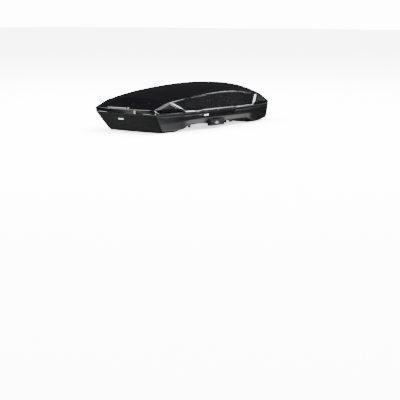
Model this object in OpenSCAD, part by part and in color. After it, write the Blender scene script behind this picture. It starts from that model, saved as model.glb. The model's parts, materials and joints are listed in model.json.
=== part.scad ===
// Roof cargo box that opens from either side.
// X points to the right of the car, Y to its front, Z up; the keel's lowest face is at z = 0.

/* [Outline] */
// Overall length
box_l = 2090; // [2060:10:2140]
// Width over the walls
box_w = 900; // [890:5:910]
// Half width at the rear corners
rear_x = 360; // [354:2:368]
// Half width at the front corners
front_x = 352; // [344:2:360]
// How square the sides are in plan: higher keeps them straighter in the middle
side_power = 2.4; // [2.2:0.1:3]
// Wall thickness of both shells
wall = 5; // [4.5:0.5:6]

/* [Heights] */
// Lower edge of the lid
split_z = 186; // [184:1:190]
// Upper edge of the base's wall
rim_z = 177; // [172:1:177]
// Underside of the flat floor, above the crossbar pads
floor_z = 54; // [52:1:56]

/* [Hinges] */
// Distance of each hinge axis from the middle
hinge_x = 416; // [415:1:417]
// Height of the hinge axes
hinge_z = 230; // [229:1:232]
// Radius of the hinge pins
pin_r = 4; // [3.5:0.25:4.5]
// Distance of the outer hinges from the middle one
hinge_pitch = 330; // [320:5:335]
// Radial clearance of every turning or sliding fit
fit_gap = 0.05; // [0.03:0.01:0.08]

/* [Stays] */
// Distance of both ends of a stay from the hinge axis
stay_r = 150; // [146:2:152]
// Distance of the stays from the middle, along the box
stay_y = 450; // [440:5:460]

/* [Clamps] */
// Place of the rear crossbar
rear_bar_y = -375; // [-385:5:-365]
// Place of the front crossbar
front_bar_y = 325; // [315:5:335]
// Distance of the clamps from the middle
clamp_x = 260; // [255:1:265]
// Widest crossbar that the clamps take
bar_w = 80; // [70:5:80]

/* [Hidden] */

// ---- shell surfaces ----------------------------------------------------------------------
// A level is [half width, rear end, rear corner x, y, front corner x, y, front end].
end_y = box_l / 2;
mid_x = box_w / 2;
split_level = [mid_x, -end_y + 10, rear_x + 8, -end_y + 51, front_x + 14, end_y - 112, end_y];
belt_level = [mid_x - 2, -end_y, rear_x + 11, -end_y + 47, front_x + 10, end_y - 112, end_y - 3];
roof_level = [mid_x - 26, -end_y + 207, rear_x + 16, -end_y + 232,
              front_x - 22, end_y - 203, end_y - 133];
rim_level = [mid_x - 2, -end_y + 27, rear_x + 5, -end_y + 61, front_x + 12, end_y - 114, end_y - 2];
sill_level = [mid_x - 6, -end_y + 113, rear_x - 10, -end_y + 133,
              front_x + 8, end_y - 118, end_y - 9];
skirt_level = [mid_x - 36, -end_y + 188, rear_x - 26, -end_y + 193,
               front_x - 2, end_y - 130, end_y - 13];
keel_level = [mid_x - 94, -end_y + 200, rear_x - 42, -end_y + 209,
              front_x - 52, end_y - 175, end_y - 55];

// Heights along the box, as [y, z]
crown_line = [[-838, 324], [-700, 349], [-540, 376], [-240, 405], [75, 422],
              [330, 421], [550, 404], [720, 373], [912, 312]];
roof_edge_line = [[-838, 288], [-785, 292], [-560, 321], [-335, 340], [-85, 352],
                  [135, 351], [330, 338], [515, 316], [675, 295], [842, 270], [912, 262]];
sill_line = [[-930, 90], [-450, 112], [-200, 120], [150, 112], [675, 114], [1030, 116]];
skirt_line = [[-840, 19], [-600, 20], [-470, 66], [-285, 62], [-240, 53], [10, 53], [60, 60],
              [170, 62], [455, 60], [565, 22], [640, 8], [850, 26], [1030, 66]];
keel_line = [[-640, 0], [-535, floor_z], [505, floor_z], [575, 0], [800, 0], [985, 36]];
belt_rear_z = 230;
belt_front_z = 207;
crown_power = 2.4;
end_power = 1.7;
rear_corner_r = 15;
front_corner_r = 40;
row_steps = 8;

function seg(y, k, i = 0) = (i >= len(k) - 2 || y < k[i + 1][0]) ? i : seg(y, k, i + 1);
function clamp_y(y, k) = min(max(y, k[0][0]), k[len(k) - 1][0]);
function slope(k, i) =
  let (a = max(i - 1, 0), b = min(i + 1, len(k) - 1))
  (k[b][1] - k[a][1]) / (k[b][0] - k[a][0]);
// Smooth curve through the points
function curve(y, k) =
  let (v = clamp_y(y, k), i = seg(v, k), h = k[i + 1][0] - k[i][0], t = (v - k[i][0]) / h,
       t2 = t * t, t3 = t2 * t)
  (2 * t3 - 3 * t2 + 1) * k[i][1] + (t3 - 2 * t2 + t) * h * slope(k, i)
  + (3 * t2 - 2 * t3) * k[i + 1][1] + (t3 - t2) * h * slope(k, i + 1);
// Soft steps between the points, flat at each one
function steps(y, k) =
  let (v = clamp_y(y, k), i = seg(v, k), t = (v - k[i][0]) / (k[i + 1][0] - k[i][0]))
  k[i][1] + (k[i + 1][1] - k[i][1]) * t * t * (3 - 2 * t);

function inset(level, e) = level + [-e, e, -e, e, -e, -e, -e];
function side_x(y, l) =
  y < 0 ? l[0] - (l[0] - l[2]) * pow(y / l[3], side_power)
        : l[0] - (l[0] - l[4]) * pow(y / l[5], side_power);
function rear_y(x, l) = l[1] + (l[3] - l[1]) * pow(abs(x) / l[2], end_power);
function front_y(x, l) = l[6] - (l[6] - l[5]) * pow(abs(x) / l[4], end_power);
function bend(a, b, c, n) =
  [for (i = [1 : n]) let (t = i / (n + 1)) (1 - t) * (1 - t) * a + 2 * t * (1 - t) * b + t * t * c];
// Half outline from the rear middle, round the right side, to the front middle
function half_outline(l, n_end, n_corner, n_side) =
  let (xr = l[2] - rear_corner_r, xf = l[4] - front_corner_r,
       ya = l[3] + rear_corner_r, yb = l[5] - front_corner_r,
       rear = [for (i = [0 : n_end]) [xr * i / n_end, rear_y(xr * i / n_end, l)]],
       side = [for (i = [0 : n_side]) let (y = ya + (yb - ya) * i / n_side) [side_x(y, l), y]],
       front = [for (i = [n_end : -1 : 0]) [xf * i / n_end, front_y(xf * i / n_end, l)]])
  concat(rear, bend(rear[n_end], [l[2], l[3]], side[0], n_corner), side,
         bend(side[n_side], [l[4], l[5]], front[0], n_corner), front);
function outline(l) =
  let (h = half_outline(l, 5, 3, 20))
  concat(h, [for (i = [len(h) - 2 : -1 : 1]) [-h[i][0], h[i][1]]]);

function belt_z(y) = belt_rear_z + (belt_front_z - belt_rear_z) * (y + end_y) / box_l;
function roof_z(x, y) =
  let (e = curve(y, roof_edge_line), c = curve(y, crown_line),
       s = min(1, abs(x) / side_x(y, roof_level)))
  e + (c - e) * (1 - pow(s, crown_power));
function keel_z(x, y) = steps(y, keel_line);

n_ring = len(outline(split_level));
n_half = n_ring / 2 + 1;
function at_z(l, z) = [for (p = outline(l)) [p[0], p[1], z]];
// Points of one surface: its rings, then the inner points of the rows that close it
function cap_points(l, zs) =
  let (h = half_outline(l, 5, 3, 20))
  [for (j = [1 : n_half - 2]) for (c = [1 : row_steps - 1])
     let (x = h[j][0] * (2 * c / row_steps - 1)) [x, h[j][1], zs(x, h[j][1])]];
function cap_id(j, c, first, base) =
  j == 0 ? first
  : j == n_half - 1 ? first + n_half - 1
  : c == row_steps ? first + j
  : c == 0 ? first + n_ring - j
  : base + (j - 1) * (row_steps - 1) + c - 1;
function cap_faces(first, base) =
  [for (j = [0 : n_half - 2]) for (c = [0 : row_steps - 1])
     let (a = cap_id(j, c, first, base), b = cap_id(j, c + 1, first, base),
          d = cap_id(j + 1, c, first, base), e = cap_id(j + 1, c + 1, first, base))
     each [if (a != b) [a, b, e], if (d != e) [a, e, d]]];
function band_faces(o, rings) =
  [for (k = [0 : rings - 2]) for (i = [0 : n_ring - 1])
     let (a = o + k * n_ring + i, b = o + k * n_ring + (i + 1) % n_ring)
     each [[a, b, b + n_ring], [a, b + n_ring, a + n_ring]]];
function rim_faces(o, p) =
  [for (i = [0 : n_ring - 1]) let (j = (i + 1) % n_ring)
     each [[o + i, p + j, o + j], [o + i, p + i, p + j]]];
function flip(fs, on) = on ? [for (f = fs) [f[2], f[1], f[0]]] : fs;
function flat(lists) = [for (l = lists) each l];

// A shell with the outer rings a and the inner rings b, closed by rows of points
module shell(a, a_cap, b, b_cap, upward) {
  na = len(a) * n_ring;
  nb = len(b) * n_ring;
  nc = len(a_cap);
  last_a = na - n_ring;
  o = na + nc;
  outer = concat(band_faces(0, len(a)), cap_faces(last_a, na));
  inner = concat(band_faces(o, len(b)), cap_faces(o + nb - n_ring, o + nb));
  faces = concat(outer, flip(inner, true), rim_faces(0, o));
  polyhedron(concat(flat(a), a_cap, flat(b), b_cap), flip(faces, upward), convexity = 6);
}

function lid_rings(e) = [
  at_z(inset(split_level, e), split_z),
  [for (p = outline(inset(belt_level, e))) [p[0], p[1], belt_z(p[1]) - e / 4]],
  [for (p = outline(inset(roof_level, e))) [p[0], p[1], roof_z(p[0], p[1]) - e]]
];
module lid_shell() {
  color([0.05, 0.05, 0.06])
    shell(lid_rings(0), cap_points(roof_level, function(x, y) roof_z(x, y)),
          lid_rings(wall), cap_points(inset(roof_level, wall), function(x, y) roof_z(x, y) - wall),
          true);
}
function base_rings(e) = [
  at_z(inset(rim_level, e), rim_z),
  [for (p = outline(inset(sill_level, e))) [p[0], p[1], curve(p[1], sill_line)]],
  [for (p = outline(inset(skirt_level, e))) [p[0], p[1], steps(p[1], skirt_line) + e]],
  [for (p = outline(inset(keel_level, e / 2))) [p[0], p[1], keel_z(p[0], p[1]) + e]]
];

// ---- base --------------------------------------------------------------------------------
deck_z = floor_z + wall;
lock_y0 = -227;
lock_y1 = 3;
lock_z0 = 30;
lock_z1 = 92;
lock_in_x = mid_x - 44;
lock_out_x = mid_x - 3;
slot_w = 56;
slot_l = 274;
bars = [rear_bar_y, front_bar_y];

module sides() {
  children();
  mirror([1, 0, 0]) children();
}
module block(x0, x1, y0, y1, z0, z1) {
  translate([x0, y0, z0]) cube([x1 - x0, y1 - y0, z1 - z0]);
}
module rod_y(x, z, y0, y1, r) {
  translate([x, y0, z]) rotate([-90, 0, 0]) cylinder(r = r, h = y1 - y0, $fn = 40);
}
module rod_x(x0, x1, y, z, r) {
  translate([x0, y, z]) rotate([0, 90, 0]) cylinder(r = r, h = x1 - x0, $fn = 40);
}
module base_shell() {
  color([0.09, 0.09, 0.1])
    difference() {
      shell(base_rings(0), cap_points(keel_level, function(x, y) keel_z(x, y)),
            base_rings(wall),
            cap_points(inset(keel_level, wall / 2), function(x, y) keel_z(x, y) + wall), false);
      sides() {
        block(lock_in_x, mid_x + 20, lock_y0, lock_y1, lock_z0 - 6, lock_z1);
        for (y = bars)
          block(clamp_x - slot_w / 2, clamp_x + slot_w / 2, y - slot_l / 2, y + slot_l / 2, 1, 80);
      }
    }
}
rail_t = 3;
rail_half_w = 52;
rail_y0 = -525;
rail_y1 = 475;
module floor_rail() {
  color([0.62, 0.63, 0.65])
    difference() {
      union() {
        block(clamp_x - rail_half_w, clamp_x + rail_half_w, rail_y0, rail_y1, deck_z, deck_z + rail_t);
        for (x = [clamp_x - rail_half_w, clamp_x + rail_half_w - rail_t])
          block(x, x + rail_t, rail_y0, rail_y1, deck_z, deck_z + 12);
      }
      for (y = bars)
        block(clamp_x - slot_w / 2, clamp_x + slot_w / 2, y - slot_l / 2, y + slot_l / 2,
              deck_z - 1, deck_z + rail_t + 1);
    }
}
module floor_rail_rivets() {
  color([0.75, 0.75, 0.77])
    sides()
      for (x = [clamp_x - 40, clamp_x + 40])
        for (y = [rail_y0 + 6, -205, 0, 155, rail_y1 - 6])
          translate([x, y, deck_z + rail_t]) cylinder(r = 4, h = 2, $fn = 24);
}
pad_t = 4;
module crossbar_pads() {
  color([0.12, 0.12, 0.12])
    sides()
      for (y = bars)
        for (x = [120, clamp_x + 38])
          block(x, x + 40, y - 35, y + 35, floor_z - pad_t, floor_z);
}
seal_gap = 0.8;
// The seal is lower where the far wall of the opening lid swings over it
function seal_z(x) =
  hinge_z - sqrt(pow(hinge_z - split_z, 2) + 12 * max(0, abs(x) - hinge_x)) - seal_gap;
function seal_top(l) = [for (p = outline(l)) [p[0], p[1], seal_z(p[0])]];
module rim_seal() {
  a = [at_z(rim_level, rim_z), seal_top(inset(rim_level, 1))];
  b = [at_z(inset(rim_level, wall), rim_z), seal_top(inset(rim_level, wall - 1))];
  color([0.1, 0.1, 0.1])
    polyhedron(concat(flat(a), flat(b)),
               flip(concat(band_faces(0, 2), flip(band_faces(2 * n_ring, 2), true),
                           rim_faces(0, 2 * n_ring), flip(rim_faces(n_ring, 3 * n_ring), true)),
                    true),
               convexity = 6);
}

// ---- locks -------------------------------------------------------------------------------
key_y = -198;
key_z = 59;
key_r = 9;
lever_y0 = -150;
lever_y1 = -106;
lever_z0 = 47;
lever_z1 = 71;
latch_travel = 14;
lever_room = 3;
face_t = 5;
pocket_y0 = -182;
pocket_y1 = -60;
boss_y = -30;
boss_r = 11;
module lock_housing() {
  color([0.16, 0.16, 0.17])
    difference() {
      union() {
        block(lock_in_x, lock_out_x, lock_y0, lock_y1, lock_z0, lock_z1);
        rod_x(lock_out_x - 1, lock_out_x + 1.5, boss_y, key_z, boss_r);
      }
      block(lock_in_x + 3, lock_out_x - face_t, pocket_y0, pocket_y1, lock_z0 + 5, lock_z1 + 1);
      block(lock_out_x - face_t - 1, lock_out_x + 1, lever_y0 - latch_travel - lever_room,
            lever_y1 + lever_room, lever_z0 - lever_room, lever_z1 + lever_room);
      rod_x(lock_in_x - 1, lock_out_x + 1, key_y, key_z, key_r + fit_gap);
    }
}
key_l = 26;
keyway = [6, 2, 10];
module key_cylinder() {
  color([0.7, 0.7, 0.72])
    difference() {
      rod_x(lock_out_x - key_l, lock_out_x + 2, key_y, key_z, key_r);
      block(lock_out_x - keyway[0], lock_out_x + 3, key_y - keyway[1] / 2, key_y + keyway[1] / 2,
            key_z - keyway[2] / 2, key_z + keyway[2] / 2);
    }
}
bar_x0 = hinge_x - 14;
bar_x1 = hinge_x - 2;
latch_z = 150;
latch_h = 12;
lever_in_x = lock_out_x - 26;
module release_lever() {
  color([0.2, 0.2, 0.21])
    union() {
      block(lever_in_x, lock_out_x + 3, lever_y0, lever_y1, lever_z0, lever_z1);
      block(lever_in_x - 10, lever_in_x, lever_y0, lever_y1, lever_z0, latch_z + 4);
    }
}
hinge_ys = [-hinge_pitch, 0, hinge_pitch];
hook_half = 11;
foot_t = 6;
knuckle_r = 7;
tooth_l = 16;
tooth_gap = 2;
module latch_bar() {
  color([0.6, 0.6, 0.62])
    union() {
      block(bar_x0, bar_x1, -hinge_pitch - 45, hinge_pitch + 45, latch_z, latch_z + latch_h);
      for (y = hinge_ys)
        block(bar_x0 - tooth_l, bar_x0, y + hook_half + tooth_gap,
              y + hook_half + tooth_gap + latch_travel, latch_z + foot_t, latch_z + latch_h);
    }
}
guide_ys = [-240, -60, 120, 220];
guide_half = 8;
guide_gap = 0.3;
module latch_guides() {
  color([0.15, 0.15, 0.16])
    for (y = guide_ys)
      difference() {
        block(bar_x0 - 5, mid_x - 16, y - guide_half, y + guide_half, latch_z - 12, latch_z + 17);
        block(bar_x0 - guide_gap, bar_x1 + guide_gap, y - guide_half - 1, y + guide_half + 1,
              latch_z - guide_gap, latch_z + latch_h + guide_gap);
      }
}
plate_z0 = 130;
plate_z1 = 166;
plate_t = 11;
module side_plate() {
  color([0.07, 0.07, 0.08])
    translate([mid_x - 12, 0, 0])
      rotate([90, 0, 90])
        linear_extrude(plate_t)
          polygon([[-300, plate_z0], [165, plate_z0], [196, plate_z1], [-345, plate_z1]]);
}
badge = [64, 4, 15];
badge_x = -58;
rear_slope = 39;
module rear_badge() {
  color([0.75, 0.76, 0.78])
    translate([badge_x, -end_y + 69, 131])
      rotate([-rear_slope, 0, 0]) cube(badge, center = true);
}
module side_badges() {
  color([0.8, 0.8, 0.82]) sides() block(mid_x - 5, mid_x + 1.5, -332, -270, 139, 153);
}
strap_ys = [-150, 130];
strap_w = 25;
strap_t = 1.5;
strap_half = 190;
module strap(y) {
  color([0.2, 0.2, 0.22])
    block(-strap_half, strap_half, y - strap_w / 2, y + strap_w / 2, deck_z, deck_z + strap_t);
}
module strap_anchors() {
  color([0.3, 0.3, 0.32])
    sides()
      for (y = strap_ys)
        block(strap_half, strap_half + 14, y - 18, y + 18, deck_z, deck_z + 7);
}
module strap_buckles() {
  color([0.1, 0.1, 0.1])
    for (y = strap_ys)
      block(50, 92, y - 17, y + 17, deck_z + strap_t, deck_z + 10);
}

// ---- hinge carriages ---------------------------------------------------------------------
arm_in_x = hinge_x - 40;
module hinge_hooks() {
  color([0.55, 0.56, 0.58])
    for (y = hinge_ys)
      difference() {
        union() {
          rod_y(hinge_x, hinge_z, y - hook_half, y + hook_half, knuckle_r);
          block(arm_in_x, hinge_x, y - hook_half, y + hook_half, hinge_z - 6, hinge_z + 6);
          block(arm_in_x - 8, arm_in_x, y - hook_half, y + hook_half, latch_z - 2, hinge_z + 6);
          block(arm_in_x - 1, arm_in_x + 10, y - hook_half, y + hook_half, latch_z - 2, latch_z + 4);
        }
        rod_y(hinge_x, hinge_z, y - hook_half - 1, y + hook_half + 1, pin_r);
      }
}
pin_half = 32;
module hinge_pins() {
  color([0.8, 0.8, 0.82])
    for (y = hinge_ys)
      rod_y(hinge_x, hinge_z, y - pin_half, y + pin_half, pin_r);
}
module carriage_rail() {
  color([0.5, 0.51, 0.53])
    block(arm_in_x - 14, arm_in_x - 8, -stay_y - 14, stay_y + 14, hinge_z - 18, hinge_z + 4);
}
stay_x = hinge_x - stay_r * cos(30);
stay_z0 = hinge_z - stay_r / 2;
stay_z1 = hinge_z + stay_r / 2;
module stay_arms() {
  color([0.5, 0.51, 0.53])
    for (y = [-stay_y, stay_y]) {
      translate([0, y + 14, 0])
        rotate([90, 0, 0])
          linear_extrude(4)
            polygon([[arm_in_x - 14, hinge_z - 18], [arm_in_x - 14, hinge_z + 4],
                     [stay_x - 10, stay_z0 + 8], [stay_x - 10, stay_z0 - 8],
                     [stay_x + 6, stay_z0 - 10]]);
      rod_y(stay_x, stay_z0, y - 8, y + 10, pin_r);
    }
}
tube_r = 8;
rod_r = 4;
eye_r = 9;
ring_r = 14;
ring_bore_r = 9.5;
module stay_tubes() {
  color([0.1, 0.1, 0.11])
    for (y = [-stay_y, stay_y])
      difference() {
        union() {
          rod_y(stay_x, stay_z0, y - 6, y + 6, eye_r);
          translate([stay_x, y, stay_z0]) cylinder(r = tube_r, h = stay_r - 34, $fn = 40);
        }
        rod_y(stay_x, stay_z0, y - 10, y + 10, pin_r + fit_gap);
        translate([stay_x, y, stay_z0 + 12]) cylinder(r = rod_r + fit_gap, h = stay_r, $fn = 40);
      }
}
module stay_rods() {
  color([0.82, 0.82, 0.84])
    for (y = [-stay_y, stay_y])
      difference() {
        union() {
          translate([stay_x, y, stay_z0 + 14]) cylinder(r = rod_r, h = stay_r - 26, $fn = 40);
          rod_y(stay_x, stay_z1, y - 5, y + 5, ring_r);
        }
        rod_y(stay_x, stay_z1, y - 6, y + 6, ring_bore_r);
      }
}

// ---- lid fittings ------------------------------------------------------------------------
knuckle_step = 21;
knuckle_half = 9;
module lid_rail() {
  color([0.55, 0.56, 0.58])
    difference() {
      union() {
        block(hinge_x - 18, hinge_x - 2, -hinge_pitch - 40, hinge_pitch + 40,
              hinge_z + 12, hinge_z + 24);
        for (y = hinge_ys)
          for (k = [-1, 1]) {
            v = y + k * knuckle_step;
            rod_y(hinge_x, hinge_z, v - knuckle_half, v + knuckle_half, knuckle_r);
            block(hinge_x - knuckle_r, hinge_x - 2, v - knuckle_half, v + knuckle_half,
                  hinge_z, hinge_z + 13);
          }
      }
      for (y = hinge_ys)
        rod_y(hinge_x, hinge_z, y - 35, y + 35, pin_r + fit_gap);
    }
}
bracket_pin_r = 3.5;
module lid_stay_brackets() {
  color([0.5, 0.51, 0.53])
    sides()
      for (y = [-stay_y, stay_y]) {
        rod_y(stay_x, stay_z1, y - 12, y + 7, bracket_pin_r);
        block(stay_x - 12, stay_x + 12, y + 7, y + 11, stay_z1 - 8, roof_z(stay_x, y) - wall + 0.5);
      }
}
beam_ys = [-260, 240];
beam_h = 12;
beam_half = 320;
beam_w = 24;
beam_gap = 2.5;
module lid_cross_beams() {
  steps_x = 16;
  top = [for (i = [0 : steps_x]) let (x = beam_half * (2 * i / steps_x - 1)) x];
  color([0.6, 0.6, 0.62])
    for (y = beam_ys)
      translate([0, y + beam_w / 2, 0])
        rotate([90, 0, 0])
          linear_extrude(beam_w)
            polygon(concat([for (x = top) [x, roof_z(x, y) - wall - beam_gap]],
                           [for (i = [steps_x : -1 : 0])
                              [top[i], roof_z(top[i], y) - wall - beam_gap - beam_h]]));
}
lip_w = 300;
module rear_lip() {
  color([0.05, 0.05, 0.06])
    translate([badge_x - lip_w / 2, 0, 0])
      rotate([90, 0, 90])
        linear_extrude(lip_w)
          polygon([[-end_y + 16, 232], [-end_y + 3, 238], [-end_y + 4, 246],
                   [-end_y + 46, 250], [-end_y + 30, 240]]);
}

// ---- clamps ------------------------------------------------------------------------------
clamp_z = deck_z + rail_t + 0.3;
jaw_z = clamp_z + 10;
bar_bottom = 19;
leg_y = bar_w / 2 + 5;
leg_t = 7;
hook_t = 6;
hook_l = 16;
hook_x = 16;
body_x = 34;
body_h = 34;
lug_t = 6;
jaw_pin_r = 3;
spindle_y = -8;
spindle_r = 4;
collar_h = 6;
knob_r = 26;
knob_h = 16;
module clamp_body() {
  color([0.13, 0.13, 0.14])
    difference() {
      union() {
        block(-body_x, body_x, -58, 34, clamp_z, clamp_z + body_h);
        translate([0, spindle_y, clamp_z + body_h]) cylinder(r = 10, h = collar_h, $fn = 40);
        block(-hook_x, hook_x, -leg_y - leg_t, -leg_y, bar_bottom - hook_t, clamp_z + 20);
        block(-hook_x, hook_x, -leg_y - 1, -leg_y + hook_l, bar_bottom - hook_t, bar_bottom);
        for (x = [-body_x, body_x - lug_t])
          block(x, x + lug_t, 33, leg_y + 14, clamp_z, clamp_z + 20);
        rod_x(-30, 30, leg_y + 3, jaw_z, jaw_pin_r);
      }
      translate([0, spindle_y, clamp_z + 20]) cylinder(r = spindle_r, h = 30, $fn = 40);
    }
}
module clamp_knob() {
  knob_z = clamp_z + body_h + collar_h + 0.3;
  color([0.6, 0.08, 0.08])
    translate([0, spindle_y, 0])
      union() {
        translate([0, 0, knob_z]) cylinder(r = knob_r, h = knob_h, $fn = 48);
        block(-22, 22, -5, 5, knob_z + knob_h - 0.3, knob_z + knob_h + 8.7);
        translate([0, 0, clamp_z + 21]) cylinder(r = spindle_r - fit_gap, h = 20, $fn = 40);
      }
}
module clamp_jaw() {
  color([0.35, 0.35, 0.37])
    difference() {
      union() {
        rod_x(-20, 20, leg_y + 3, jaw_z, leg_t);
        block(-hook_x, hook_x, leg_y, leg_y + leg_t, bar_bottom - hook_t, jaw_z);
        block(-hook_x, hook_x, leg_y - hook_l, leg_y + 1, bar_bottom - hook_t, bar_bottom);
      }
      rod_x(-21, 21, leg_y + 3, jaw_z, jaw_pin_r + fit_gap);
    }
}

base_shell();
mirror([1, 0, 0]) floor_rail();  // left_floor_rail
floor_rail();  // right_floor_rail
floor_rail_rivets();
crossbar_pads();
rim_seal();
mirror([1, 0, 0]) lock_housing();  // left_lock_housing
lock_housing();  // right_lock_housing
mirror([1, 0, 0]) key_cylinder();  // left_key_cylinder
key_cylinder();  // right_key_cylinder
mirror([1, 0, 0]) release_lever();  // left_release_lever
release_lever();  // right_release_lever
mirror([1, 0, 0]) latch_bar();  // left_latch_bar
latch_bar();  // right_latch_bar
mirror([1, 0, 0]) latch_guides();  // left_latch_guides
latch_guides();  // right_latch_guides
mirror([1, 0, 0]) side_plate();  // left_side_plate
side_plate();  // right_side_plate
rear_badge();
side_badges();
strap(strap_ys[1]);  // front_strap
strap(strap_ys[0]);  // rear_strap
strap_anchors();
strap_buckles();
mirror([1, 0, 0]) hinge_hooks();  // left_hinge_hooks
hinge_hooks();  // right_hinge_hooks
mirror([1, 0, 0]) hinge_pins();  // left_hinge_pins
hinge_pins();  // right_hinge_pins
mirror([1, 0, 0]) carriage_rail();  // left_carriage_rail
carriage_rail();  // right_carriage_rail
mirror([1, 0, 0]) stay_arms();  // left_stay_arms
stay_arms();  // right_stay_arms
mirror([1, 0, 0]) stay_tubes();  // left_stay_tubes
stay_tubes();  // right_stay_tubes
mirror([1, 0, 0]) stay_rods();  // left_stay_rods
stay_rods();  // right_stay_rods
lid_shell();
mirror([1, 0, 0]) lid_rail();  // left_lid_rail
lid_rail();  // right_lid_rail
lid_stay_brackets();
lid_cross_beams();
rear_lip();
translate([-clamp_x, rear_bar_y, 0]) clamp_body();  // rear_left_clamp_body
translate([-clamp_x, rear_bar_y, 0]) clamp_knob();  // rear_left_clamp_knob
translate([-clamp_x, rear_bar_y, 0]) clamp_jaw();  // rear_left_clamp_jaw
translate([clamp_x, rear_bar_y, 0]) clamp_body();  // rear_right_clamp_body
translate([clamp_x, rear_bar_y, 0]) clamp_knob();  // rear_right_clamp_knob
translate([clamp_x, rear_bar_y, 0]) clamp_jaw();  // rear_right_clamp_jaw
translate([-clamp_x, front_bar_y, 0]) clamp_body();  // front_left_clamp_body
translate([-clamp_x, front_bar_y, 0]) clamp_knob();  // front_left_clamp_knob
translate([-clamp_x, front_bar_y, 0]) clamp_jaw();  // front_left_clamp_jaw
translate([clamp_x, front_bar_y, 0]) clamp_body();  // front_right_clamp_body
translate([clamp_x, front_bar_y, 0]) clamp_knob();  // front_right_clamp_knob
translate([clamp_x, front_bar_y, 0]) clamp_jaw();  // front_right_clamp_jaw
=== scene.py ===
"""Roof cargo box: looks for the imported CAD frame."""
import json
import math
import bmesh
import bpy
import numpy as np
from mathutils import Matrix, Vector


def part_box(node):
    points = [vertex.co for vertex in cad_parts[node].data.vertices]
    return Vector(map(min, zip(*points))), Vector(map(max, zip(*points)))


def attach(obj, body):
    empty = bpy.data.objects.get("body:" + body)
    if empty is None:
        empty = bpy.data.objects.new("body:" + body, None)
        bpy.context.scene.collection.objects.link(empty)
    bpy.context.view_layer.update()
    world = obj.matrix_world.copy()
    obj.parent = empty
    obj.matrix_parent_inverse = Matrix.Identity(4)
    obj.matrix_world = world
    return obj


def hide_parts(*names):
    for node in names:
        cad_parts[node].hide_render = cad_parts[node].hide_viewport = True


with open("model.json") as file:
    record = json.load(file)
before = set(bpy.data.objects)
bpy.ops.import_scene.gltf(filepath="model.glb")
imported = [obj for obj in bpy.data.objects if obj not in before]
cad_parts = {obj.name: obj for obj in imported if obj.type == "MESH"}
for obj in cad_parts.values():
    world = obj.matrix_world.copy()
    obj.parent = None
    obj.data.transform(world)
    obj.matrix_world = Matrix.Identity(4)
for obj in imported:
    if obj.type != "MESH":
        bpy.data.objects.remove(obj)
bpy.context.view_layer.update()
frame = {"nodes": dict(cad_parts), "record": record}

MM = 0.001

# ---- the shells' surfaces, in millimetres, as the design has them --------------------------
# A level is [half width, rear y, rear corner x, rear corner y, front corner x, front corner y,
# front y]. A line gives a height for each place along y.
END_Y = 1045.0
SPLIT_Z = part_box("lid_shell")[0][2] / MM
RIM_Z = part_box("rim_seal")[0][2] / MM
WALL = 5.0
SPLIT = [450, -1035, 368, -994, 366, 933, 1045]
BELT = [448, -1045, 371, -998, 362, 933, 1042]
ROOF = [424, -838, 376, -813, 330, 842, 912]
RIM = [448, -1018, 365, -984, 364, 931, 1043]
SILL = [444, -932, 350, -912, 360, 927, 1036]
SKIRT = [414, -857, 334, -852, 350, 915, 1032]
KEEL = [356, -845, 318, -836, 300, 870, 990]
CROWN_LINE = [(-838, 324), (-700, 349), (-540, 376), (-240, 405), (75, 422),
              (330, 421), (550, 404), (720, 373), (912, 312)]
EDGE_LINE = [(-838, 288), (-785, 292), (-560, 321), (-335, 340), (-85, 352), (135, 351),
             (330, 338), (515, 316), (675, 295), (842, 270), (912, 262)]
SILL_LINE = [(-930, 90), (-450, 112), (-200, 120), (150, 112), (675, 114), (1030, 116)]
SKIRT_LINE = [(-840, 19), (-600, 20), (-470, 66), (-285, 62), (-240, 53), (10, 53), (60, 60),
              (170, 62), (455, 60), (565, 22), (640, 8), (850, 26), (1030, 66)]
KEEL_LINE = [(-640, 0), (-535, 54), (505, 54), (575, 0), (800, 0), (985, 36)]
SIDE_POWER = 2.4
CROWN_POWER = 2.4
END_POWER = 1.7
ROW_POWER = 0.8
REAR_CORNER_R = 15.0
FRONT_CORNER_R = 40.0
BELT_REAR_Z = 230.0
BELT_FALL = 23.0
SHARP_DEG = 28.0


def curve(y, knots):
    """Smooth curve through the knots."""
    ys = np.array([k[0] for k in knots], float)
    vs = np.array([k[1] for k in knots], float)
    slopes = np.empty(len(ys))
    slopes[1:-1] = (vs[2:] - vs[:-2]) / (ys[2:] - ys[:-2])
    slopes[0] = (vs[1] - vs[0]) / (ys[1] - ys[0])
    slopes[-1] = (vs[-1] - vs[-2]) / (ys[-1] - ys[-2])
    y = np.clip(y, ys[0], ys[-1])
    i = np.clip(np.searchsorted(ys, y, side="right") - 1, 0, len(ys) - 2)
    h = ys[i + 1] - ys[i]
    t = (y - ys[i]) / h
    return ((2 * t**3 - 3 * t**2 + 1) * vs[i] + (t**3 - 2 * t**2 + t) * h * slopes[i]
            + (3 * t**2 - 2 * t**3) * vs[i + 1] + (t**3 - t**2) * h * slopes[i + 1])


def steps(y, knots):
    """Soft steps between the knots."""
    ys = np.array([k[0] for k in knots], float)
    vs = np.array([k[1] for k in knots], float)
    y = np.clip(y, ys[0], ys[-1])
    i = np.clip(np.searchsorted(ys, y, side="right") - 1, 0, len(ys) - 2)
    t = (y - ys[i]) / (ys[i + 1] - ys[i])
    return vs[i] + (vs[i + 1] - vs[i]) * t * t * (3 - 2 * t)


def inset(level, e):
    """The level moved in by e on every side."""
    return [a + b for a, b in zip(level, (-e, e, -e, e, -e, -e, -e))]


def side_x(y, l):
    """Half width of level l at y."""
    rear = l[0] - (l[0] - l[2]) * np.abs(np.minimum(y, 0) / l[3]) ** SIDE_POWER
    front = l[0] - (l[0] - l[4]) * np.abs(np.maximum(y, 0) / l[5]) ** SIDE_POWER
    return np.where(y < 0, rear, front)


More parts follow.
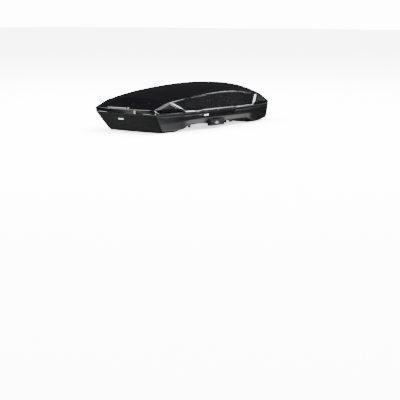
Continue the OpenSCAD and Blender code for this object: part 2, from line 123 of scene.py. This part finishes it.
def bend(a, b, c, n):
    """The n points of a curve from a to c, bent towards b."""
    t = (np.arange(1, n + 1) / (n + 1))[:, None]
    return (1 - t) ** 2 * a + 2 * t * (1 - t) * b + t * t * c


def half_outline(l, n_end, n_corner, n_side):
    """Half outline from the rear middle, round the right side, to the front middle."""
    xr = l[2] - REAR_CORNER_R
    xf = l[4] - FRONT_CORNER_R
    x = xr * np.linspace(0, 1, n_end + 1)
    rear = np.c_[x, l[1] + (l[3] - l[1]) * (x / l[2]) ** END_POWER]
    y = np.linspace(l[3] + REAR_CORNER_R, l[5] - FRONT_CORNER_R, n_side + 1)
    side = np.c_[side_x(y, l), y]
    x = xf * np.linspace(1, 0, n_end + 1)
    front = np.c_[x, l[6] - (l[6] - l[5]) * (x / l[4]) ** END_POWER]
    return np.vstack([rear, bend(rear[-1], np.array([l[2], l[3]]), side[0], n_corner), side,
                      bend(side[-1], np.array([l[4], l[5]]), front[0], n_corner), front])


def outline(l, **detail):
    """The whole outline, going round once."""
    h = half_outline(l, **detail)
    return np.vstack([h, h[-2:0:-1] * [-1, 1]])


def belt_z(y):
    """Height of the belt's upper edge, which falls towards the front."""
    return BELT_REAR_Z - BELT_FALL * (y + END_Y) / (2 * END_Y)


def roof_z(x, y):
    """Height of the roof, crowned between its two edges."""
    e = curve(y, EDGE_LINE)
    s = np.minimum(1, np.abs(x) / side_x(y, ROOF))
    return e + (curve(y, CROWN_LINE) - e) * (1 - s ** CROWN_POWER)


def ring(l, z, **detail):
    """Outline points of level l at the height z, a number or a function of x and y."""
    p = outline(l, **detail)
    zs = z(p[:, 0], p[:, 1]) if callable(z) else np.full(len(p), float(z))
    return np.c_[p, zs]


def between(a, b, ts):
    """Rings at the shares ts of the way from a to b."""
    return [a + (b - a) * t for t in ts]


def rounded(a, corner, b, r, n=3):
    """Rings that round the corner between rings a and b."""
    da = a - corner
    db = b - corner
    pa = corner + da * (r / np.linalg.norm(da, axis=1))[:, None]
    pb = corner + db * (r / np.linalg.norm(db, axis=1))[:, None]
    return [pa] + [(1 - t) ** 2 * pa + 2 * t * (1 - t) * corner + t * t * pb
                   for t in np.arange(1, n) / n] + [pb]


def surface(rings, cap_level, cap_z, columns, base, detail):
    """Points and faces of rings closed by rows across the last ring."""
    n = len(rings[0])
    half = half_outline(cap_level, **detail)
    m = len(half)
    pts = [np.vstack(rings)]
    faces = []
    for k in range(len(rings) - 1):
        for i in range(n):
            j = (i + 1) % n
            faces.append((base + k * n + i, base + k * n + j,
                          base + (k + 1) * n + j, base + (k + 1) * n + i))
    s = 2 * np.arange(1, columns) / columns - 1
    s = np.sign(s) * np.abs(s) ** ROW_POWER
    rows = half[1:-1]
    x = rows[:, :1] * s[None, :]
    y = np.repeat(rows[:, 1:], len(s), axis=1)
    pts.append(np.c_[x.ravel(), y.ravel(), cap_z(x.ravel(), y.ravel())])
    first = base + (len(rings) - 1) * n
    inner = base + len(rings) * n

    def point(j, c):
        if j == 0:
            return first
        if j == m - 1:
            return first + m - 1
        if c == columns:
            return first + j
        if c == 0:
            return first + n - j
        return inner + (j - 1) * (columns - 1) + c - 1
    for j in range(m - 1):
        for c in range(columns):
            loop = [point(j, c), point(j, c + 1), point(j + 1, c + 1), point(j + 1, c)]
            faces.append(tuple(dict.fromkeys(loop)))
    return np.vstack(pts), faces


def make(name, points, faces, sharp_deg=SHARP_DEG):
    """A mesh piece from millimetre points."""
    mesh = bpy.data.meshes.new(name)
    mesh.from_pydata((np.asarray(points) * MM).tolist(), [], faces)
    mesh.validate()
    mesh.shade_smooth()
    mesh.set_sharp_from_angle(angle=math.radians(sharp_deg))
    piece = bpy.data.objects.new(name, mesh)
    bpy.context.scene.collection.objects.link(piece)
    return piece


def closed_shell(name, outer, o_faces, inner, i_faces, n, upward):
    """Joins an outer and an inner surface along their first rings."""
    base = len(outer)
    faces = list(o_faces) + [tuple(reversed(f)) for f in i_faces]
    faces += [(i, base + i, base + (i + 1) % n, (i + 1) % n) for i in range(n)]
    if not upward:
        faces = [tuple(reversed(f)) for f in faces]
    return make(name, np.vstack([outer, inner]), faces)


def soft(t):
    """Soft step from 0 to 1."""
    t = np.clip(t, 0, 1)
    return t * t * (3 - 2 * t)


def on_side(x):
    """1 on the long sides and 0 in the middle."""
    return soft((np.abs(x) - SIDE_START_X) / SIDE_RAMP)


# ---- moulded features of the lid -----------------------------------------------------------
SIDE_START_X = 300
SIDE_RAMP = 40
PANEL_DEPTH = 8.0
CHEVRON_DEPTH = 6.0
CHEVRON_BOTTOM_Z = 186.8
BAND_DEPTH = 18.0
BAND_Z = (188, 224)
BAND_START_X = 146
BAND_RAMP = 10
EDGE_ROUND = 8.0
BELT_ROUND = 3.0
LID_COLUMNS = 40


def inward(y, z, a, b):
    """Distance from the line a-b, positive on its left."""
    ay, az = a
    by, bz = b
    length = math.hypot(by - ay, bz - az)
    return ((by - ay) * (z - az) - (bz - az) * (y - ay)) / length


def panel_depth(y, z):
    """How far the long side panel lies in; its ledge steps up along the grip."""
    rear = inward(y, z, (-775, 284), (-590, 190))
    grip = soft((y + 379) / 44) * soft((203 - y) / 53)
    bottom = z - (189 - 4 * (y + 600) / 1150) - 7 * grip
    front = inward(y, z, (536, 184), (672, 287))
    top = curve(y, EDGE_LINE) - 7 - z
    width = 6 + 8 * soft((-y - 420) / 120)
    return PANEL_DEPTH * np.minimum.reduce([soft(rear / 12), soft(bottom / width),
                                            soft(front / 20), soft(top / 8)])


def chevron_depth(y, z):
    """How far the arrow-shaped facet behind the panel lies in."""
    upper = inward(y, z, (-804, 290), (-1012, 229))
    lower = inward(y, z, (-1012, 229), (-930, 184))
    ridge = inward(y, z, (-640, 190), (-798, 290))
    bottom = z - CHEVRON_BOTTOM_Z
    return CHEVRON_DEPTH * np.minimum.reduce([soft(upper / 8), soft(lower / 6),
                                              soft(ridge / 6), soft(bottom / 2.2)])


def band_depth(x, y, z):
    """How far the band across the rear end lies in; it fades towards the corners."""
    past = np.abs(x) - BAND_START_X
    band = np.clip(past / BAND_RAMP, 0, 1)
    band = band * soft((z - BAND_Z[0]) / 3) * soft((BAND_Z[1] - z) / 3)
    fade = 1 - 0.7 * np.clip((past - BAND_RAMP) / 200, 0, 1)
    band = band * soft((-y - 915) / 40) * fade
    return BAND_DEPTH * band


def shape_lid(p):
    """Presses the recesses into the outer points."""
    x, y, z = p.T.copy()
    depth = (panel_depth(y, z) + chevron_depth(y, z)) * on_side(x)
    below_roof = z < roof_z(x, y) - 1
    x = x - np.sign(x) * depth * below_roof
    y = y + band_depth(p[:, 0], y, z)
    return np.c_[x, y, z]


def lid_surface(e, columns, base, detail, shaped):
    """One skin of the lid, moved in by e, with its recesses pressed in when shaped."""
    lower = ring(inset(SPLIT, e), SPLIT_Z, **detail)
    belt = ring(inset(BELT, e), lambda x, y: belt_z(y) - e / 4, **detail)
    edge = ring(inset(ROOF, e), lambda x, y: roof_z(x, y) - e, **detail)
    cap_level = inset(ROOF, e + EDGE_ROUND)
    top = ring(cap_level, lambda x, y: roof_z(x, y) - e, **detail)
    rings = [lower]
    rings += between(lower, belt, (0.02, 0.045, 0.07, 0.1, 0.14))
    rings += between(lower, belt, np.linspace(0.22, 0.86, 8))
    rings += rounded(rings[-1], belt, edge, BELT_ROUND)[1:]
    rings += between(belt, edge, np.linspace(0.06, 0.93, 26))
    rings += rounded(rings[-1], edge, top, EDGE_ROUND)[1:-1] + [top]
    pts, faces = surface(rings, cap_level, lambda x, y: roof_z(x, y) - e, columns, base, detail)
    if shaped:
        pts = shape_lid(pts)
    return pts, faces, len(lower)


FINE = dict(n_end=160, n_corner=12, n_side=330)


def build_lid():
    """The lid's shell; its inner skin follows the recesses, so that the wall stays whole."""
    outer, o_faces, n = lid_surface(0.0, LID_COLUMNS, 0, FINE, True)
    inner, i_faces, n = lid_surface(WALL, LID_COLUMNS, len(outer), FINE, False)
    x = inner[:, 0]
    pressed = panel_depth(inner[:, 1], inner[:, 2]) + chevron_depth(inner[:, 1], inner[:, 2])
    pressed = pressed * on_side(x)
    pressed = pressed * (inner[:, 2] < roof_z(x, inner[:, 1]) - WALL - 2)
    inner[:, 1] += band_depth(x, inner[:, 1], inner[:, 2])
    inner[:, 0] = x - np.sign(x) * pressed
    lid = closed_shell("lid_moulding", outer, o_faces, inner, i_faces, n, True)
    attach(lid, "lid")
    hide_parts("lid_shell")
    return lid


# ---- base ----------------------------------------------------------------------------------
PRESS_LINE_Z = (150, 158)
PRESS_LINE_DEPTH = 2.0
SILL_ROUND = 4.0
SKIRT_ROUND = 5.0
BASE_COLUMNS = 24
COARSE = dict(n_end=14, n_corner=8, n_side=180)
LOCK_CUT_OUT = 0.03
LOCK_CUT_DOWN = 0.01
BAR_YS = (-0.375, 0.325)
SLOT_X = 0.26
SLOT_HALF_X = 0.028
SLOT_HALF_Y = 0.137
SLOT_ZS = (0.001, 0.08)


def shape_base(p):
    """A shallow press line along the base's sides."""
    x, y, z = p.T.copy()
    groove = soft((z - PRESS_LINE_Z[0]) / 3) * soft((PRESS_LINE_Z[1] - z) / 3) * on_side(x)
    x = x - np.sign(x) * PRESS_LINE_DEPTH * groove
    return np.c_[x, y, z]


def base_surface(e, columns, base, detail, shaped):
    """One skin of the base, moved in by e, with its press line when shaped."""
    rim = ring(inset(RIM, e), RIM_Z, **detail)
    sill = ring(inset(SILL, e), lambda x, y: curve(y, SILL_LINE), **detail)
    skirt = ring(inset(SKIRT, e), lambda x, y: steps(y, SKIRT_LINE) + e, **detail)
    keel_level = inset(KEEL, e / 2)
    keel = ring(keel_level, lambda x, y: steps(y, KEEL_LINE) + e, **detail)
    rings = [rim] + between(rim, sill, np.linspace(0.05, 0.9, 18))
    rings += rounded(rings[-1], sill, skirt, SILL_ROUND)[1:]
    rings += between(sill, skirt, np.linspace(0.15, 0.85, 6))
    rings += rounded(rings[-1], skirt, keel, SKIRT_ROUND)[1:]
    rings += between(skirt, keel, (0.3, 0.6, 0.9)) + [keel]
    pts, faces = surface(rings, keel_level, lambda x, y: steps(y, KEEL_LINE) + e, columns, base, detail)
    if shaped:
        pts = shape_base(pts)
    return pts, faces, len(rim)


def cutter(name, lo, hi):
    """A closed block that is only used to cut, in metres."""
    bm = bmesh.new()
    bmesh.ops.create_cube(bm, size=1.0)
    for v in bm.verts:
        v.co = Vector([l + (h - l) * (c + 0.5) for l, h, c in zip(lo, hi, v.co)])
    mesh = bpy.data.meshes.new(name)
    bm.to_mesh(mesh)
    bm.free()
    piece = bpy.data.objects.new(name, mesh)
    bpy.context.scene.collection.objects.link(piece)
    return piece


def cut(piece, tools):
    """Subtracts the tools from the piece and deletes them."""
    for tool in tools:
        modifier = piece.modifiers.new("cut", "BOOLEAN")
        modifier.operation = "DIFFERENCE"
        modifier.solver = "EXACT"
        modifier.object = tool
    depsgraph = bpy.context.evaluated_depsgraph_get()
    mesh = bpy.data.meshes.new_from_object(piece.evaluated_get(depsgraph))
    piece.modifiers.clear()
    piece.data = mesh
    for tool in tools:
        bpy.data.objects.remove(tool)


def build_base():
    """The base's shell, cut out for the locks and for the clamps' slots."""
    outer, o_faces, n = base_surface(0.0, BASE_COLUMNS, 0, COARSE, True)
    inner, i_faces, n = base_surface(WALL, BASE_COLUMNS, len(outer), COARSE, False)
    base = closed_shell("base_moulding", outer, o_faces, inner, i_faces, n, False)
    tools = []
    for side in ("left", "right"):
        lo, hi = (list(corner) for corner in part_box(side + "_lock_housing"))
        if side == "left":
            lo[0] -= LOCK_CUT_OUT
        else:
            hi[0] += LOCK_CUT_OUT
        lo[2] -= LOCK_CUT_DOWN
        tools.append(cutter("lock_cut_" + side, lo, hi))
        x = SLOT_X if side == "right" else -SLOT_X
        for bar_y in BAR_YS:
            low = (x - SLOT_HALF_X, bar_y - SLOT_HALF_Y, SLOT_ZS[0])
            high = (x + SLOT_HALF_X, bar_y + SLOT_HALF_Y, SLOT_ZS[1])
            tools.append(cutter("slot_cut", low, high))
    cut(base, tools)
    base.data.shade_smooth()
    base.data.set_sharp_from_angle(angle=math.radians(SHARP_DEG))
    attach(base, "base")
    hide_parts("base_shell")
    return base


LIP_MID_X = -58
LIP_HALF_LENGTH = 150
LIP_SETBACK = 14
LIP_Z = 238
LIP_DROP = 9
LIP_SHARP_DEG = 40


def build_rear_lip():
    """The tapered lip over the lid's rear wall."""
    stations = np.linspace(-1, 1, 61)
    profile = [(0, -8), (-10, -3), (-12, 1), (-9, 6), (10, 13), (34, 18), (30, 2)]
    pts = []
    for s in stations:
        x = LIP_HALF_LENGTH * s + LIP_MID_X
        fade = 1 - soft((abs(s) - 0.82) / 0.18) * 0.85
        drop = LIP_DROP * soft((abs(s) - 0.8) / 0.2)
        rear = BELT[1] + (BELT[3] - BELT[1]) * (abs(x) / BELT[2]) ** END_POWER
        for dy, dz in profile:
            pts.append((x, rear + LIP_SETBACK + dy * fade, LIP_Z - drop + dz * fade))
    k = len(profile)
    faces = [(i * k + j, i * k + (j + 1) % k, (i + 1) * k + (j + 1) % k, (i + 1) * k + j)
             for i in range(len(stations) - 1) for j in range(k)]
    faces += [tuple(reversed(range(k))), tuple((len(stations) - 1) * k + j for j in range(k))]
    lip = make("rear_lip_moulding", pts, faces, LIP_SHARP_DEG)
    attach(lip, "lid")
    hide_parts("rear_lip")
    return lip


# ---- materials -----------------------------------------------------------------------------
GRAIN_HEIGHT = 0.0004
WEAVE_HEIGHT = 0.0005
WEAVE_SCALE = 140.0


def material(name, color, rough, metal=0.0, spread=0.04, noise_scale=60.0,
             grain=0.0, grain_scale=1800.0, stretch=(1, 1, 1), specular=0.5):
    """A surface with slow colour and gloss variation and a fine bump."""
    m = bpy.data.materials.new(name)
    m.use_nodes = True
    nodes, links = m.node_tree.nodes, m.node_tree.links
    shader = nodes["Principled BSDF"]
    shader.inputs["Metallic"].default_value = metal
    shader.inputs["Specular IOR Level"].default_value = specular
    place = nodes.new("ShaderNodeTexCoord")
    scale = nodes.new("ShaderNodeMapping")
    scale.inputs["Scale"].default_value = stretch
    links.new(place.outputs["Object"], scale.inputs["Vector"])
    clouds = nodes.new("ShaderNodeTexNoise")
    clouds.inputs["Scale"].default_value = noise_scale
    clouds.inputs["Detail"].default_value = 5.0
    links.new(scale.outputs["Vector"], clouds.inputs["Vector"])
    tint = nodes.new("ShaderNodeValToRGB")
    tint.color_ramp.elements[0].position = 0.3
    tint.color_ramp.elements[1].position = 0.7
    tint.color_ramp.elements[0].color = [c * (1 - spread * 4) for c in color] + [1]
    tint.color_ramp.elements[1].color = [min(1, c * (1 + spread * 4)) for c in color] + [1]
    links.new(clouds.outputs["Fac"], tint.inputs["Fac"])
    links.new(tint.outputs["Color"], shader.inputs["Base Color"])
    gloss = nodes.new("ShaderNodeMapRange")
    gloss.inputs["To Min"].default_value = max(0.02, rough - spread)
    gloss.inputs["To Max"].default_value = rough + spread
    links.new(clouds.outputs["Fac"], gloss.inputs["Value"])
    links.new(gloss.outputs["Result"], shader.inputs["Roughness"])
    if grain:
        fine = nodes.new("ShaderNodeTexNoise")
        fine.inputs["Scale"].default_value = grain_scale
        fine.inputs["Detail"].default_value = 3.0
        links.new(scale.outputs["Vector"], fine.inputs["Vector"])
        bump = nodes.new("ShaderNodeBump")
        bump.inputs["Strength"].default_value = grain
        bump.inputs["Distance"].default_value = GRAIN_HEIGHT
        links.new(fine.outputs["Fac"], bump.inputs["Height"])
        links.new(bump.outputs["Normal"], shader.inputs["Normal"])
    return m


def webbing(name, color):
    """Woven strap webbing."""
    m = material(name, color, 0.8, spread=0.08, noise_scale=200)
    nodes, links = m.node_tree.nodes, m.node_tree.links
    shader = nodes["Principled BSDF"]
    shader.inputs["Sheen Weight"].default_value = 0.3
    place = nodes.new("ShaderNodeTexCoord")
    ribs = []
    for axis in ("X", "Y"):
        wave = nodes.new("ShaderNodeTexWave")
        wave.bands_direction = axis
        wave.inputs["Scale"].default_value = WEAVE_SCALE
        links.new(place.outputs["Object"], wave.inputs["Vector"])
        ribs.append(wave)
    weave = nodes.new("ShaderNodeMath")
    weave.operation = "MULTIPLY"
    links.new(ribs[0].outputs["Fac"], weave.inputs[0])
    links.new(ribs[1].outputs["Fac"], weave.inputs[1])
    bump = nodes.new("ShaderNodeBump")
    bump.inputs["Strength"].default_value = 0.6
    bump.inputs["Distance"].default_value = WEAVE_HEIGHT
    links.new(weave.outputs[0], bump.inputs["Height"])
    links.new(bump.outputs["Normal"], shader.inputs["Normal"])
    return m


MATERIALS = {
    "gloss_black": material("gloss_black", (0.0008, 0.0008, 0.001), 0.17, spread=0.01,
                            noise_scale=9.0),
    "base_black": material("base_black", (0.0012, 0.0012, 0.0015), 0.3, spread=0.04,
                           noise_scale=25.0, grain=0.25, grain_scale=1400.0, specular=0.4),
    "trim_black": material("trim_black", (0.003, 0.003, 0.0035), 0.45, grain=0.3,
                           specular=0.2),
    "lever_grey": material("lever_grey", (0.05, 0.05, 0.053), 0.38, grain=0.2),
    "badge_silver": material("badge_silver", (0.62, 0.63, 0.65), 0.28, metal=0.6,
                             noise_scale=400.0, stretch=(1, 0.05, 1), grain=0.1),
    "rail_aluminium": material("rail_aluminium", (0.6, 0.61, 0.63), 0.35, metal=1.0,
                               noise_scale=300.0, stretch=(1, 0.03, 1), grain=0.15),
    "steel_zinc": material("steel_zinc", (0.5, 0.51, 0.54), 0.32, metal=1.0, spread=0.06,
                           noise_scale=90.0, grain=0.15),
    "rod_chrome": material("rod_chrome", (0.33, 0.33, 0.34), 0.12, metal=1.0, spread=0.02,
                           noise_scale=300.0),
    "seal_rubber": material("seal_rubber", (0.006, 0.006, 0.006), 0.75, spread=0.05, grain=0.5,
                            specular=0.1),
    "clamp_red": material("clamp_red", (0.34, 0.012, 0.012), 0.4, spread=0.05, grain=0.25),
    "strap_web": webbing("strap_web", (0.02, 0.02, 0.022)),
}
SLOTS = {row["node"]: row["material_slot"] for row in frame["record"]["subparts"]}


def dress(piece, name):
    """Gives the piece the one named material."""
    piece.data.materials.clear()
    piece.data.materials.append(MATERIALS[name])


# ---- stage, light and camera ---------------------------------------------------------------
FLOOR_HALF = 60.0
FLOOR_GLOW = 1.5


def build_floor():
    """A pale floor, faintly lit from itself so that no horizon shows."""
    bm = bmesh.new()
    bmesh.ops.create_grid(bm, x_segments=8, y_segments=8, size=FLOOR_HALF)
    mesh = bpy.data.meshes.new("floor")
    bm.to_mesh(mesh)
    bm.free()
    floor = bpy.data.objects.new("floor", mesh)
    bpy.context.scene.collection.objects.link(floor)
    paint = bpy.data.materials.new("floor_paint")
    paint.use_nodes = True
    shader = paint.node_tree.nodes["Principled BSDF"]
    shader.inputs["Base Color"].default_value = (0.86, 0.86, 0.86, 1)
    shader.inputs["Roughness"].default_value = 0.9
    shader.inputs["Emission Color"].default_value = (1, 1, 1, 1)
    shader.inputs["Emission Strength"].default_value = FLOOR_GLOW
    mesh.materials.append(paint)
    floor.visible_glossy = False


# Soft boxes mirrored in the gloss: direction, half-angle in degrees, brightness.
SOFT_BOXES = [
    ((0.31, 0.76, 0.56), 14, 28.0),
    ((0.42, 0.25, 0.87), 20, 22.0),
    ((0.95, -0.10, 0.17), 18, 26.0),
    ((-0.56, -0.45, 0.66), 22, 26.0),
    ((0.52, 0.55, 0.68), 12, 22.0),
    ((0.24, 0.76, -0.60), 11, 3.0),
    ((0.50, 0.50, -0.72), 12, 3.0),
    ((0.60, 0.78, 0.12), 12, 0.2),
    ((-0.59, 0.79, 0.17), 25, 0.02),
    ((0.96, -0.02, -0.17), 13, 20.0),
    ((-0.59, -0.60, -0.54), 16, 0.3),
    ((-0.43, -0.76, -0.49), 10, 1.6),
    ((-0.59, 0.0, -0.81), 20, 0.28),
    ((-0.59, -0.75, 0.30), 14, 1.0),
]
ROOM_GLOW = 0.006
LOBE_EDGE = 0.25
BACKDROP = (14, 14, 14, 1)
LAMP_SIZE = 14.0
LAMP_WATTS = 11000
LAMP_Z = 7


def build_light():
    """Soft boxes round the box, a white backdrop, and a ceiling that only fills."""
    world = bpy.data.worlds.new("studio")
    world.use_nodes = True
    nodes, links = world.node_tree.nodes, world.node_tree.links
    shade = nodes["Background"]
    place = nodes.new("ShaderNodeTexCoord")
    total = None
    for way, half_angle, level in SOFT_BOXES:
        toward = nodes.new("ShaderNodeVectorMath")
        toward.operation = "DOT_PRODUCT"
        toward.inputs[1].default_value = Vector(way).normalized()
        links.new(place.outputs["Generated"], toward.inputs[0])
        glow = nodes.new("ShaderNodeMapRange")
        glow.interpolation_type = "SMOOTHSTEP"
        glow.inputs["From Min"].default_value = math.cos(math.radians(half_angle * (1 + LOBE_EDGE)))
        glow.inputs["From Max"].default_value = math.cos(math.radians(half_angle * (1 - LOBE_EDGE)))
        glow.inputs["To Max"].default_value = level
        links.new(toward.outputs["Value"], glow.inputs["Value"])
        add = nodes.new("ShaderNodeMath")
        add.operation = "ADD"
        add.inputs[0].default_value = ROOM_GLOW
        if total:
            links.new(total.outputs[0], add.inputs[0])
        links.new(glow.outputs["Result"], add.inputs[1])
        total = add
    seen = nodes.new("ShaderNodeLightPath")
    backdrop = nodes.new("ShaderNodeMix")
    backdrop.data_type = "RGBA"
    backdrop.inputs["B"].default_value = BACKDROP
    links.new(seen.outputs["Is Camera Ray"], backdrop.inputs["Factor"])
    links.new(total.outputs[0], backdrop.inputs["A"])
    links.new(backdrop.outputs["Result"], shade.inputs["Color"])
    bpy.context.scene.world = world
    lamp = bpy.data.lights.new("ceiling", "AREA")
    lamp.size = LAMP_SIZE
    lamp.energy = LAMP_WATTS
    ceiling = bpy.data.objects.new("ceiling", lamp)
    ceiling.location = (0, 0, LAMP_Z)
    ceiling.visible_glossy = False
    bpy.context.scene.collection.objects.link(ceiling)


SENSOR_MM = 36
LENS_MM = 98.087
CAMERA_AT = (6.7096, -8.7766, 1.1132)
CAMERA_WAY = (-0.5903, 0.7894, -0.1688)


def build_camera():
    """Looks from behind and to the right, slightly above the box."""
    data = bpy.data.cameras.new("camera")
    data.sensor_width = SENSOR_MM
    data.lens = LENS_MM
    camera = bpy.data.objects.new("camera", data)
    ahead = Vector(CAMERA_WAY).normalized()
    right = ahead.cross(Vector((0, 0, 1))).normalized()
    up = right.cross(ahead)
    turn = Matrix((right, up, -ahead)).transposed()
    camera.matrix_world = Matrix.Translation(CAMERA_AT) @ turn.to_4x4()
    bpy.context.scene.collection.objects.link(camera)
    bpy.context.scene.camera = camera


build_camera()
build_light()
build_floor()
made = [(build_lid(), "gloss_black"), (build_base(), "base_black"),
        (build_rear_lip(), "gloss_black")]
for piece, name in made:
    dress(piece, name)
for node, piece in frame["nodes"].items():
    dress(piece, SLOTS[node])
